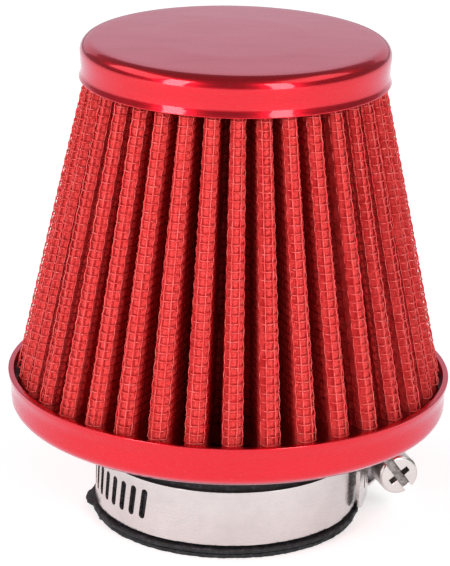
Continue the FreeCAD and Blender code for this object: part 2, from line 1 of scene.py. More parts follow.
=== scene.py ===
"""Looks of a clamp-on cone air filter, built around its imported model. Lengths are in metres."""

import json
import math

import bmesh
import bpy
import numpy as np
from mathutils import Matrix, Vector, noise


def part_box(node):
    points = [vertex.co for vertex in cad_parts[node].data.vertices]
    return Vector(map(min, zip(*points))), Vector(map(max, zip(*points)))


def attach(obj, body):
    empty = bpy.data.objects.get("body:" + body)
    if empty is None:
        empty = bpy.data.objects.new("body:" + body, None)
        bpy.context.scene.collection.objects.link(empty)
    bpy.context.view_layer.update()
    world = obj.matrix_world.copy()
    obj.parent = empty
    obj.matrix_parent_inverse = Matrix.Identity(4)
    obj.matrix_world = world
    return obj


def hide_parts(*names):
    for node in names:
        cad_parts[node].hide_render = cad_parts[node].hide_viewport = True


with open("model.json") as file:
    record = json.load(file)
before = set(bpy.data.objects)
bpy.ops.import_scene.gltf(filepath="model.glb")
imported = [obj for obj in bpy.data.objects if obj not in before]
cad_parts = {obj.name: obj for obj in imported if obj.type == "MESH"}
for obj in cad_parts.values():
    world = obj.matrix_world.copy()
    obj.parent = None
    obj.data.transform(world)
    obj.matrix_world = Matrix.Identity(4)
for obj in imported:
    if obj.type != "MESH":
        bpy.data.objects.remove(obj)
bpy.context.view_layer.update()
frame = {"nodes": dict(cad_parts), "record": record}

MM = 0.001
DEGREE = math.pi / 180

# how far a vertex may lie from a plane, or from the axis, and still count as on it
LEVEL_TOLERANCE = 0.01 * MM
POLE_RADIUS = 0.01 * MM

# pleated pack, in the plane of the tray rim
PLEATS = 36
PITCH = 360.0 / PLEATS * DEGREE
FIRST_PLEAT = 1.4 * DEGREE
TIP_HALF_WIDTH = 1.66 * MM
VALLEY_HALF_WIDTH = 0.35 * MM
ROOT_LIFT = 0.2 * MM
CROWN_HEIGHT = 1.35 * MM
CROWN_PER_WIDTH = 1.2
CROWN_POWER = 2.4
CROWN_POINTS = 25
VALLEY_POINTS = 9
VALLEY_BEND = 0.06
FLOW_STEP = 0.02 * MM

# unevenness of the pleats
WANDER = 0.16 * DEGREE
WANDER_AT_ENDS = 0.35
LEAN = 0.12 * DEGREE
SWELL = 0.12 * MM
SWELL_THROUGHOUT = 0.06 * MM
TIP_SETBACK = 0.18 * MM

# woven wire
MESH_PITCH = 1.25 * MM
WIRE_RADIUS = 0.095 * MM
CRIMP = 0.09 * MM
FIRST_WEFT_DROP = 0.50 * MM
WEFT_DRIFT = 0.24 * MM
TOP_MARGIN = 0.5 * MM

# a second path this far out shows which way the wires face
LIFT_PROBE = 0.3 * MM

# in pitches of the screen: how far the warps overrun, how near to the end of the fold the wires
# come, and how far from the tip the wefts have points between their crossings
WARP_OVERRUN = 0.14
WARP_MARGIN = 0.15
SIDE_MARGIN = 0.2
CRIMPED_CELLS = 4

# cloth under the wire
GAUZE_DEPTH = 0.32 * MM
GAUZE_STANDOFF = 0.40 * MM
PILLOW = 0.22 * MM
PILLOWED_REACH = 3.2 * MM
PILLOW_FADE = 0.8 * MM
CLOTH_RIPPLE = 0.05 * MM
RIPPLE_ALONG, RIPPLE_UP, RIPPLE_PER_PLEAT = 5.1, 3.7, 2.4
CELL_STEPS = 3
FINE_STEPS = 8
COARSE_STEPS = 6

# threads of the cloth; the wave texture draws this many bands in a unit at scale 1
THREAD_PITCH = 0.42 * MM
WAVES_PER_UNIT = 3.18

# inner wire
INNER_DEPTH = 1.25 * MM
INNER_STANDOFF = 0.45 * MM

# painted shade of the deep folds starts this far from a pleat's tip and is full after the spread
UNSHADED_REACH = 1.5 * MM
FOLD_SHADE_SPREAD = 1.8 * MM

# CAD meshes before their edges are rounded
WELD_DISTANCE = 0.002 * MM
FLAT_ANGLE = 0.4 * DEGREE
SHARP_ANGLE = 30 * DEGREE
SMOOTH_ANGLE = 40 * DEGREE

# drive recess of the clamp screw and the strength of its painted shade
RECESS_SUNK = 0.40 * MM
RECESS_DEEPEST = 3.0 * MM
RECESS_RADIUS = 2.95 * MM
RECESS_PAINTED_SHADE = 0.60

# waves of the pressed pieces, as shares of their radius
CAP_WAVE = 0.0012
TRAY_WAVE = 0.0010

# moulding of the neck: its rough free ribs and the flash on them, in degrees and millimetres
# where no unit is given
ROUGH_TOP = 1.95 * MM
ROUGH_FADE = 0.25 * MM
ROUGH_RADIUS = 19 * MM
COARSE_ROUGHNESS, COARSE_SCALE = 0.17, 0.8
FINE_ROUGHNESS, FINE_SCALE = 0.15, 2.3
FLASH_SIZE = 0.85
FLASH_AZIMUTH, FLASH_SPREAD = -87, 7
FLASH_HEIGHT, FLASH_DEPTH = 1.15, 0.45

# turned profiles, as (radius, height, fillet) in millimetres
CAP_PROFILE = [
    (0.001, 76.60, 0), (12, 76.54, 60), (23.78, 76.26, 1.85), (23.44, 72.3, 9), (23.44, 71.3, 2.0),
    (23.78, 70.30, 0.15), (23.36, 70.30, 0.15), (23.04, 71.6, 2.0), (23.10, 75.70, 1.0),
    (0.001, 76.10, 0),
]
TRAY_PROFILE = [
    (21.55, 17.0, 0.1), (32.2, 17.0, 1.0), (34.00, 18.2, 2.2), (34.02, 21.5, 5.0),
    (34.40, 22.9, 1.6), (34.50, 23.64, 0.14), (33.62, 23.64, 0.1), (33.45, 22.9, 0.6),
    (33.45, 17.6, 1.3), (21.55, 17.6, 0.1),
]
NECK_PROFILE = [
    (17.5, 0.0, 0.25), (20.9, 0.0, 0.30), (20.95, 0.72, 0.25), (20.15, 0.86, 0.10),
    (21.35, 0.98, 0.25), (21.30, 1.66, 0.25), (20.0, 1.80, 0.2), (20.0, 15.0, 2.0),
    (23.95, 16.2, 0.4), (23.95, 16.98, 0.2), (21.5, 16.98, 0), (21.5, 17.62, 0),
    (25.45, 17.62, 0.2), (25.45, 19.2, 0.4), (17.5, 19.2, 0.6),
]


# ---------------------------------------------------------------- meshes


def make_piece(name, vertices, faces, material, nodes, slot, uv=None, marks=None):
    """A smooth mesh that rides on the filter and stands for CAD nodes."""
    mesh = bpy.data.meshes.new(name)
    mesh.from_pydata(np.asarray(vertices).tolist(), [], np.asarray(faces).tolist())
    mesh.polygons.foreach_set("use_smooth", [True] * len(mesh.polygons))
    if uv is not None:
        layer = mesh.uv_layers.new(name="length")
        corner = np.empty(len(mesh.loops), np.int32)
        mesh.loops.foreach_get("vertex_index", corner)
        layer.data.foreach_set("uv", np.asarray(uv, np.float32)[corner].ravel())
    for mark, values in (marks or {}).items():
        layer = mesh.attributes.new(mark, "FLOAT", "POINT")
        layer.data.foreach_set("value", np.asarray(values, np.float32))
    mesh.validate()
    weld_poles(mesh)
    mesh.materials.append(material)
    piece = bpy.data.objects.new(name, mesh)
    bpy.context.scene.collection.objects.link(piece)
    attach(piece, "filter")
    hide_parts(*nodes)


def weld_poles(mesh):
    """Joins the points that a turned profile leaves on the axis."""
    if min(v.co.x ** 2 + v.co.y ** 2 for v in mesh.vertices) > POLE_RADIUS ** 2:
        return
    work = bmesh.new()
    work.from_mesh(mesh)
    near = [v for v in work.verts if v.co.x ** 2 + v.co.y ** 2 < POLE_RADIUS ** 2]
    bmesh.ops.remove_doubles(work, verts=near, dist=2 * POLE_RADIUS)
    bmesh.ops.delete(work, geom=[e for e in work.edges if not e.link_faces], context="EDGES")
    work.to_mesh(mesh)
    work.free()


def grid_faces(rows, columns, wrap_rows=False, wrap_columns=False):
    """Quads of a grid whose vertices are numbered row by row."""
    row = np.arange(rows if wrap_rows else rows - 1)
    column = np.arange(columns if wrap_columns else columns - 1)
    row, column = np.meshgrid(row, column, indexing="ij")
    below, after = (row + 1) % rows, (column + 1) % columns
    quads = np.stack([row * columns + column, row * columns + after,
                      below * columns + after, below * columns + column], axis=-1)
    return quads.reshape(-1, 4)


def rounded_outline(corners, steps=8):
    """Closed outline through (x, y, fillet radius) corners, with arcs at the fillets."""
    points = []
    count = len(corners)
    for index, (x, y, radius) in enumerate(corners):
        here = np.array([x, y])
        before = np.array(corners[index - 1][:2]) - here
        after = np.array(corners[(index + 1) % count][:2]) - here
        if radius <= 0:
            points.append(here)
            continue
        before_length, after_length = np.linalg.norm(before), np.linalg.norm(after)
        before, after = before / before_length, after / after_length
        half = math.acos(float(np.clip(before @ after, -1, 1))) / 2
        reach = min(radius / math.tan(half), 0.49 * before_length, 0.49 * after_length)
        radius = reach * math.tan(half)
        bisector = (before + after) / np.linalg.norm(before + after)
        centre = here + bisector * radius / math.sin(half)
        start, end = here + before * reach - centre, here + after * reach - centre
        sweep = math.atan2(start[0] * end[1] - start[1] * end[0], float(start @ end))
        for step in range(steps + 1):
            angle = sweep * step / steps
            turn = np.array([[math.cos(angle), -math.sin(angle)],
                             [math.sin(angle), math.cos(angle)]])
            points.append(centre + turn @ start)
    return np.array(points)


def subdivide(outline, longest):
    """The closed outline with no edge longer than a length."""
    points = []
    for here, after in zip(outline, np.roll(outline, -1, axis=0)):
        pieces = max(1, int(math.ceil(np.linalg.norm(after - here) / longest)))
        for step in range(pieces):
            points.append(here + (after - here) * step / pieces)
    return np.array(points)


def turned_piece(name, corners, material, segments, dent, longest=1.5 * MM, **kept):
    """A closed ring or cap turned about the axis. Corners are (radius, height, fillet) in mm."""
    outline = rounded_outline([tuple(value * MM for value in corner) for corner in corners])
    outline = subdivide(outline, longest)
    angle = np.arange(segments) * 2 * math.pi / segments
    radius, height = outline[:, 0][:, None], np.repeat(outline[:, 1][:, None], segments, axis=1)
    radius = np.repeat(radius, segments, axis=1)
    radius = dent(radius, height, angle[None, :])
    vertices = np.stack([radius * np.sin(angle), -radius * np.cos(angle), height], axis=-1)
    run = np.concatenate([[0], np.cumsum(np.linalg.norm(np.diff(outline, axis=0), axis=1))])
    uv = np.stack([np.repeat((angle * outline[:, 0].max())[None, :], len(outline), axis=0),
                   np.repeat(run[:, None], segments, axis=1)], axis=-1)
    faces = grid_faces(len(outline), segments, wrap_rows=True, wrap_columns=True)
    make_piece(name, vertices.reshape(-1, 3), faces, material, uv=uv.reshape(-1, 2), **kept)


def waves(angle, seed, orders, size):
    """A smooth random function of the azimuth, the same on every run."""
    draw = np.random.default_rng(seed)
    phases = draw.uniform(0, 2 * math.pi, len(orders))
    weights = draw.uniform(0.5, 1.0, len(orders))
    total = sum(w * np.sin(n * angle + p) for n, p, w in zip(orders, phases, weights))
    return total * size / math.sqrt(len(orders))


# ---------------------------------------------------------------- materials


class Shader:
    """A material's node tree with one Principled shader."""

    def __init__(self, name, **values):
        self.material = bpy.data.materials.new(name)
        self.material.use_nodes = True
        self.tree = self.material.node_tree
        self.surface = self.tree.nodes["Principled BSDF"]
        for socket, value in values.items():
            self.surface.inputs[socket.replace("_", " ")].default_value = value

    def node(self, kind, settings=None, **inputs):
        """Adds a node; inputs are numbers, colours or other nodes' sockets."""
        made = self.tree.nodes.new(kind)
        for name, value in (settings or {}).items():
            setattr(made, name, value)
        for name, value in inputs.items():
            self.set(made.inputs[name.replace("_", " ")], value)
        return made

    def set(self, socket, value):
        """Links a socket or sets its value."""
        if isinstance(value, bpy.types.NodeSocket):
            self.tree.links.new(value, socket)
        else:
            socket.default_value = value

    def place(self, source="Object", scale=(1, 1, 1)):
        """Texture coordinates, stretched."""
        coordinates = self.node("ShaderNodeTexCoord")
        mapping = self.node("ShaderNodeMapping", Vector=coordinates.outputs[source])
        mapping.inputs["Scale"].default_value = scale
        return mapping.outputs["Vector"]

    def noise(self, vector, scale, detail=3.0, roughness=0.55):
        """Noise from 0 to 1."""
        made = self.node("ShaderNodeTexNoise", Vector=vector, Scale=scale, Detail=detail,
                         Roughness=roughness)
        return made.outputs["Fac"]

    def range(self, value, low, high, to_low, to_high):
        """Maps a stretch of values to another."""
        made = self.node("ShaderNodeMapRange")
        for socket, number in zip(list(made.inputs)[:5], (value, low, high, to_low, to_high)):
            self.set(socket, number)
        return made.outputs["Result"]

    def maths(self, operation, first, second=0.0):
        """One arithmetic step."""
        made = self.node("ShaderNodeMath", {"operation": operation})
        self.set(made.inputs[0], first)
        self.set(made.inputs[1], second)
        return made.outputs[0]

    def mix(self, share, first, second):
        """A colour between two."""
        made = self.node("ShaderNodeMix", {"data_type": "RGBA"})
        self.set(made.inputs["Factor"], share)
        self.set(made.inputs[6], first)
        self.set(made.inputs[7], second)
        return made.outputs[2]

    def mark(self, name):
        """A value stored on the mesh."""
        return self.node("ShaderNodeAttribute", {"attribute_name": name}).outputs["Fac"]

    def bump(self, height, distance):
        """Bump on the shader's normal, added to what is there."""
        made = self.node("ShaderNodeBump", Height=height, Distance=distance, Strength=1.0)
        link = self.surface.inputs["Normal"].links
        if link:
            self.set(made.inputs["Normal"], link[0].from_socket)
        self.set(self.surface.inputs["Normal"], made.outputs["Normal"])

    def colour(self, value):
        """Base colour, as a value or a socket."""
        self.set(self.surface.inputs["Base Color"], value)

    def roughness(self, value):
        """Roughness, as a value or a socket."""
        self.set(self.surface.inputs["Roughness"], value)


def anodised_red():
    """Red anodised aluminium: satin under a clear oxide skin, with rolling lines and specks."""
    shader = Shader("anodised_red", Metallic=1.0, Specular_Tint=(0.74, 0.60, 0.76, 1),
                    Coat_Weight=0.75, Coat_Roughness=0.08, Coat_IOR=1.5)
    place = shader.place()
    cloud = shader.noise(shader.place(scale=(0.3, 1, 1)), 60.0, 2.0)
    speck = shader.range(shader.noise(place, 4200.0, 0.0), 0.78, 0.82, 0.0, 0.2)
    red = shader.mix(cloud, (0.71, 0.005, 0.017, 1), (0.67, 0.006, 0.021, 1))
    shader.colour(shader.mix(speck, red, (0.80, 0.22, 0.24, 1)))
    grain = shader.noise(shader.place(scale=(0.25, 1, 9)), 330.0, 4.0)
    shader.roughness(shader.range(grain, 0.3, 0.7, 0.23, 0.33))
    shader.bump(grain, 0.0025 * MM)
    shader.bump(shader.noise(place, 5200.0, 2.0), 0.0015 * MM)
    return shader.material


def oiled_gauze():
    """Soft red cotton gauze with an open weave and nap."""
    shader = Shader("oiled_gauze", Roughness=0.80, Sheen_Weight=0.15, Sheen_Roughness=0.45,
                    Sheen_Tint=(1.0, 0.35, 0.30, 1), Specular_IOR_Level=0.2)
    place = shader.place()
    along = shader.place("UV")
    threads = []
    for axis in ("X", "Y"):
        wave = shader.node("ShaderNodeTexWave", {"bands_direction": axis}, Vector=along,
                           Scale=1 / THREAD_PITCH / WAVES_PER_UNIT, Distortion=1.1, Detail=2.0)
        wave.inputs["Detail Scale"].default_value = 2.0
        threads.append(wave.outputs["Fac"])
    weave = shader.maths("MULTIPLY", threads[0], threads[1])
    patch = shader.range(shader.noise(place, 320.0, 3.0), 0.35, 0.65, 0.0, 1.0)
    fibre = shader.noise(place, 5200.0, 3.0)
    red = shader.mix(patch, (0.80, 0.026, 0.026, 1), (0.88, 0.052, 0.048, 1))
    woven = shader.mix(weave, (0.60, 0.014, 0.015, 1), red)
    # pale nap of the fibres, partly painted glints on them
    nap_and_glints = shader.mix(shader.range(fibre, 0.35, 0.65, 0.0, 0.45), woven, (0.94, 0.16, 0.15, 1))
    # painted shadows of the wires: dark lines on the cloth beside each warp and weft, made
    # stronger or weaker by noise
    lines = [shader.maths("COSINE", shader.maths("MULTIPLY", shader.mark(name), 2 * math.pi))
             for name in ("warp_count", "weft_count")]
    painted_wire_shadow = shader.range(shader.maths("MAXIMUM", lines[0], lines[1]), 0.42, 0.94, 0.0, 1.0)
    wear_and_shade_noise = shader.range(shader.noise(place, 700.0, 3.0), 0.35, 0.65, 0.35, 0.95)
    without_deep_shade = shader.mix(shader.maths("MULTIPLY", painted_wire_shadow, wear_and_shade_noise), nap_and_glints, (0.36, 0.004, 0.005, 1))
    # painted shade: the cloth is darkened towards the valleys of the folds
    grime = shader.mark("grime")
    shader.colour(shader.mix(grime, without_deep_shade, (0.50, 0.001, 0.003, 1)))
    shader.bump(weave, 0.05 * MM)
    shader.bump(fibre, 0.03 * MM)
    return shader.material


def screen_wire():
    """Wire under red lacquer, paler and more metallic in random worn patches."""
    shader = Shader("screen_wire", Specular_IOR_Level=0.35)
    place = shader.place()
    wear_and_shade_noise = shader.range(shader.noise(place, 900.0, 3.0), 0.42, 0.66, 0.0, 1.0)
    lacquer = shader.mix(wear_and_shade_noise, (0.78, 0.052, 0.050, 1), (0.87, 0.155, 0.145, 1))
    # painted shade: the wires are darkened towards the valleys of the folds, and the same mask
    # roughens them
    grime = shader.mark("grime")
    shader.colour(shader.mix(grime, lacquer, (0.42, 0.001, 0.003, 1)))
    shader.set(shader.surface.inputs["Metallic"], shader.range(wear_and_shade_noise, 0.0, 1.0, 0.35, 0.75))
    gloss = shader.range(shader.noise(place, 2600.0), 0.3, 0.7, 0.32, 0.52)
    shader.roughness(shader.maths("MAXIMUM", gloss, grime))
    shader.bump(shader.noise(place, 6000.0, 2.0), 0.01 * MM)
    return shader.material


def neck_rubber():
    """Black moulded rubber, rough, with dust in its grain."""
    shader = Shader("neck_rubber", Specular_IOR_Level=0.35)
    place = shader.place()
    dust = shader.range(shader.noise(place, 1500.0, 5.0, 0.75), 0.50, 0.72, 0.0, 1.0)
    shader.colour(shader.mix(dust, (0.005, 0.0045, 0.0055, 1), (0.055, 0.054, 0.066, 1)))
    grain = shader.noise(place, 2100.0, 5.0, 0.65)
    shader.roughness(shader.range(grain, 0.3, 0.7, 0.42, 0.70))
    shader.bump(grain, 0.14 * MM)
    return shader.material


def sealant():
    """Cast potting, dark red and slightly glossy, with a wavy skin."""
    shader = Shader("sealant", Specular_IOR_Level=0.5)
    place = shader.place()
    cloud = shader.noise(place, 260.0, 4.0)
    shader.colour(shader.mix(cloud, (0.07, 0.004, 0.006, 1), (0.16, 0.010, 0.012, 1)))
    shader.roughness(shader.range(cloud, 0.3, 0.7, 0.30, 0.50))
    shader.bump(shader.noise(place, 330.0, 2.0), 0.25 * MM)
    return shader.material


def rolled_steel(name, light, dark, stretch, rough):
    """Bright steel with rolling lines, handling marks and blotchy painted shade where the mesh
    marks it, as in the screw's drive recess.
    """
    shader = Shader(name, Metallic=1.0)
    lines = shader.noise(shader.place(scale=stretch), 130.0, 5.0, 0.6)
    marks = shader.noise(shader.place(), 150.0, 4.0, 0.6)
    without_deep_shade = shader.mix(shader.range(marks, 0.35, 0.70, 0.0, 1.0), light, dark)
    blotch = shader.range(shader.noise(shader.place(), 1500.0, 3.0), 0.35, 0.65, 0.75, 1.45)
    # painted shade, blotched, on the faces the mesh marks, such as the screw's drive recess
    grime = shader.maths("MULTIPLY", shader.mark("grime"), blotch)
    shader.colour(shader.mix(grime, without_deep_shade, (0.050, 0.038, 0.034, 1)))
    shader.roughness(shader.range(lines, 0.3, 0.7, rough - 0.05, rough + 0.07))
    shader.bump(lines, 0.002 * MM)
    shader.bump(shader.noise(shader.place(), 3800.0, 2.0), 0.0015 * MM)
    return shader.material


def pale_floor():
    """Matte white studio sweep."""
    shader = Shader("studio_floor", Roughness=0.9, Specular_IOR_Level=0.1, Emission_Strength=0.52)
    shader.surface.inputs["Emission Color"].default_value = (1, 1, 1, 1)
    cloud = shader.noise(shader.place(), 9.0)
    shader.colour(shader.mix(cloud, (0.84, 0.84, 0.84, 1), (0.81, 0.81, 0.81, 1)))
    return shader.material


# ---------------------------------------------------------------- pleats


def radii_at(node, top):
    """Outer and inner radius of a CAD node in its top or bottom plane, and that plane's height."""
    points = np.array([v.co for v in frame["nodes"][node].data.vertices])
    height = points[:, 2].max() if top else points[:, 2].min()
    level = points[np.abs(points[:, 2] - height) < LEVEL_TOLERANCE]
    radius = np.hypot(level[:, 0], level[:, 1])
    return radius.max(), radius.min(), height


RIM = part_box("base_ring")[1].z
TIP_TOP, _, SCREEN_TOP = radii_at("outer_screen", True)
TIP_BOTTOM, ROOT_BOTTOM, SCREEN_BOTTOM = radii_at("outer_screen", False)
GAUZE_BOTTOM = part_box("gauze_layer_1")[0].z
TAPER = (TIP_BOTTOM - TIP_TOP) / (SCREEN_TOP - SCREEN_BOTTOM)
APEX = SCREEN_TOP + TIP_TOP / TAPER
TIP_RADIUS = TAPER * (APEX - RIM)
ROOT_RADIUS = ROOT_BOTTOM * (APEX - RIM) / (APEX - SCREEN_BOTTOM) + ROOT_LIFT


def scale_at(height):
    """Every plan section of the pack is the one at the tray rim, scaled."""
    return (APEX - height) / (APEX - RIM)


class Fold:
    """Half of one pleat's section at the tray rim, from its tip to the middle of the valley."""

    def __init__(self, depth, standoff):
        """The sheet lies at a depth under the outside, and its tip a standoff deeper."""
        width = TIP_HALF_WIDTH - depth
        tip = TIP_RADIUS - depth - standoff
        root = ROOT_RADIUS - depth
        valley = VALLEY_HALF_WIDTH + depth
        crown = min(CROWN_HEIGHT, CROWN_PER_WIDTH * width)
        turn = np.linspace(0, math.pi / 2, CROWN_POINTS)
        side = width * np.sin(turn) ** (2 / CROWN_POWER)
        out = tip - crown + crown * np.cos(turn) ** (2 / CROWN_POWER)
        half = PITCH / 2
        corner = np.array([root * math.sin(half) - valley * math.cos(half),
                           root * math.cos(half) + valley * math.sin(half)])
        middle = np.array([root * math.sin(half), root * math.cos(half)])
        shoulder = np.array([side[-1], out[-1]])
        lead = corner + (shoulder - corner) * VALLEY_BEND
        share = np.linspace(0, 1, VALLEY_POINTS)[:, None]
        bend = (1 - share) ** 2 * lead + 2 * share * (1 - share) * corner + share ** 2 * middle
        points = np.vstack([np.stack([side, out], axis=1), bend])
        steps = np.linalg.norm(np.diff(points, axis=0), axis=1)
        self.run = np.concatenate([[0], np.cumsum(steps)])
        self.points = points
        self.length = self.run[-1]

    def at(self, pleat, along, height, lift=0.0):
        """Points of the pleat at signed distances from its tip, lifted off the surface."""
        scale = scale_at(height)
        place = np.clip(np.abs(along) / scale, 0, self.length)
        sign = np.where(along < 0, -1.0, 1.0)
        side, out = self._plan(place)
        before = self._plan(np.clip(place - FLOW_STEP, 0, None))
        after = self._plan(place + FLOW_STEP)
        flow = np.stack([after[0] - before[0], after[1] - before[1]])
        flow = flow / np.maximum(np.linalg.norm(flow, axis=0), 1e-12)
        side = side * scale + lift * -flow[1]
        out = out * scale + lift * flow[0]
        side = side * sign
        azimuth = FIRST_PLEAT + pleat * PITCH
        x = out * np.sin(azimuth) + side * np.cos(azimuth)
        y = -out * np.cos(azimuth) + side * np.sin(azimuth)
        return self._uneven(x, y, height)

    def _plan(self, place):
        """The section's points at distances from the tip, carried on sideways past its end."""
        over = np.maximum(place - self.length, 0)
        return (np.interp(place, self.run, self.points[:, 0]) + over,
                np.interp(place, self.run, self.points[:, 1]))

    @staticmethod
    def _uneven(x, y, height):
        """Pleats are never quite even: they lean, wander and stand out by a little."""
        angle = np.arctan2(x, -y)
        radius = np.hypot(x, y)
        share = (height - GAUZE_BOTTOM) / (SCREEN_TOP - GAUZE_BOTTOM)
        ends = np.sin(math.pi * np.clip(share, 0, 1))
        wander = waves(angle, 3, (5, 9, 13, 16), WANDER) * (WANDER_AT_ENDS + ends)
        wander += waves(angle, 4, (7, 11, 15), LEAN) * np.cos(math.pi * share)
        swell = waves(angle, 5, (6, 10, 14, 17), SWELL) * ends
        swell += waves(angle, 6, (8, 12, 16), SWELL_THROUGHOUT)
        angle = angle + wander
        plan = radius / scale_at(height)
        depth = np.clip((plan - ROOT_RADIUS) / (TIP_RADIUS - ROOT_RADIUS), 0, 1)
        radius = radius + (swell - TIP_SETBACK) * depth
        return np.stack([radius * np.sin(angle), -radius * np.cos(angle),
                         np.broadcast_to(height, radius.shape)], axis=-1)


def first_weft(azimuth):
    """Height of the lowest cross wire: the rows drift a little from pleat to pleat."""
    return SCREEN_BOTTOM - FIRST_WEFT_DROP + waves(azimuth, 11, (4, 7, 12, 17), WEFT_DRIFT)


def tube(path, out, radius, sides=4):
    """Vertices and faces of a capped wire along a path; out is roughly across it."""
    ahead = np.gradient(path, axis=0)
    ahead /= np.maximum(np.linalg.norm(ahead, axis=1), 1e-12)[:, None]
    across = np.cross(ahead, out)
    across /= np.maximum(np.linalg.norm(across, axis=1), 1e-12)[:, None]
    up = np.cross(across, ahead)
    turn = (np.arange(sides) + 0.5) * 2 * math.pi / sides
    ring = (up[:, None, :] * np.cos(turn)[None, :, None]
            + across[:, None, :] * np.sin(turn)[None, :, None])
    vertices = (path[:, None, :] + ring * radius).reshape(-1, 3)
    faces = grid_faces(len(path), sides, wrap_columns=True)
    first = np.arange(sides)[::-1]
    last = np.arange(sides) + (len(path) - 1) * sides
    return vertices, np.vstack([faces, first[None, :], last[None, :]])


def fold_grime(along):
    """How dark the pack is painted at a distance from the tip: painted shade deep in the folds."""
    share = np.clip((np.abs(along) - UNSHADED_REACH) / FOLD_SHADE_SPREAD, 0, 1)
    return share * share * (3 - 2 * share)


class WireSet:
    """Wires gathered into one mesh."""

    def __init__(self):
        self.vertices, self.faces, self.grime, self.count = [], [], [], 0

    def add(self, path, out, grime):
        """Adds one wire, with a painted shade value for each point of its path."""
        vertices, faces = tube(path, out, WIRE_RADIUS)
        self.vertices.append(vertices)
        self.faces.append(faces + self.count)
        self.grime.append(np.repeat(grime, len(vertices) // len(path)))
        self.count += len(vertices)

    def build(self, name, **kept):
        """Makes the piece of all the wires."""
        make_piece(name, np.vstack(self.vertices), np.vstack(self.faces),
                   marks={"grime": np.concatenate(self.grime)}, **kept)


def woven_screen(label, fold, pitch, bottom, top, material, node, halves):
    """Folded wire cloth: warps up the pleats, wefts round them, each over and under the other."""
    levels = int((top - bottom - TOP_MARGIN) / pitch)
    rows = np.arange(levels + 1)
    longest = fold.length * scale_at(bottom)
    count = int(longest / pitch - 0.5)
    places = (np.arange(-count - 1, count + 1) + 0.5) * pitch
    wires = [WireSet() for _ in range(2 * halves)]
    for pleat in range(PLEATS):
        azimuth = FIRST_PLEAT + pleat * PITCH
        warp_set = wires[pleat * halves // PLEATS]
        for index, place in enumerate(places):
            start = first_weft(azimuth) - SCREEN_BOTTOM + bottom
            height = np.concatenate([[start - WARP_OVERRUN * pitch], start + rows * pitch, [top]])
            height = height[np.abs(place) < fold.length * scale_at(height) - WARP_MARGIN * pitch]
            if len(height) < 3:
                continue
            parity = np.where((np.arange(len(height)) + index) % 2 == 0, 1.0, -1.0)
            along = np.full(len(height), place)
            path = fold.at(pleat, along, height, CRIMP * parity)
            lifted = fold.at(pleat, along, height, CRIMP * parity + LIFT_PROBE)
            # each warp carries painted shade that deepens towards the valleys
            warp_set.add(path, lifted - path, fold_grime(along))
    for level in rows:
        paths, lifts, grimes = [], [], []
        for pleat in range(PLEATS):
            azimuth = FIRST_PLEAT + pleat * PITCH
            height = first_weft(azimuth) - SCREEN_BOTTOM + bottom + level * pitch
            reach = fold.length * scale_at(height)
            own = np.abs(places) < reach - SIDE_MARGIN * pitch
            fine = own & (np.abs(places) < CRIMPED_CELLS * pitch)
            knots = [(-reach, 0.0)]
            for index, place in enumerate(places):
                if own[index]:
                    knots.append((place, -1.0 if (level + index + 1) % 2 == 0 else 1.0))
                    if fine[index] and index + 1 < len(places) and fine[index + 1]:
                        knots.append((place + pitch / 2, 0.0))
            along, parity = np.array(knots).T
            share = along / reach
            angle = azimuth + share * PITCH / 2
            height = first_weft(angle) - SCREEN_BOTTOM + bottom + level * pitch
            path = fold.at(pleat, along, height, CRIMP * parity)
            paths.append(path)
            lifts.append(fold.at(pleat, along, height, CRIMP * parity + LIFT_PROBE) - path)
            # painted shade along the weft, deepening towards the valleys
            grimes.append(fold_grime(along))
        for half in range(halves):
            low, high = half * PLEATS // halves, (half + 1) * PLEATS // halves
            # a weft runs through its half's pleats and ends on the next pleat's first point
            path, lift, grime = (np.concatenate(each[low:high] + [each[high % PLEATS][:1]])
                                 for each in (paths, lifts, grimes))
            wires[halves + half].add(path, lift, grime)
    for half in range(halves):
        for way, index in (("warp", half), ("weft", halves + half)):
            wires[index].build("%s_%s_%d" % (label, way, half + 1), material=material,
                               nodes=[node], slot="screen_wire")


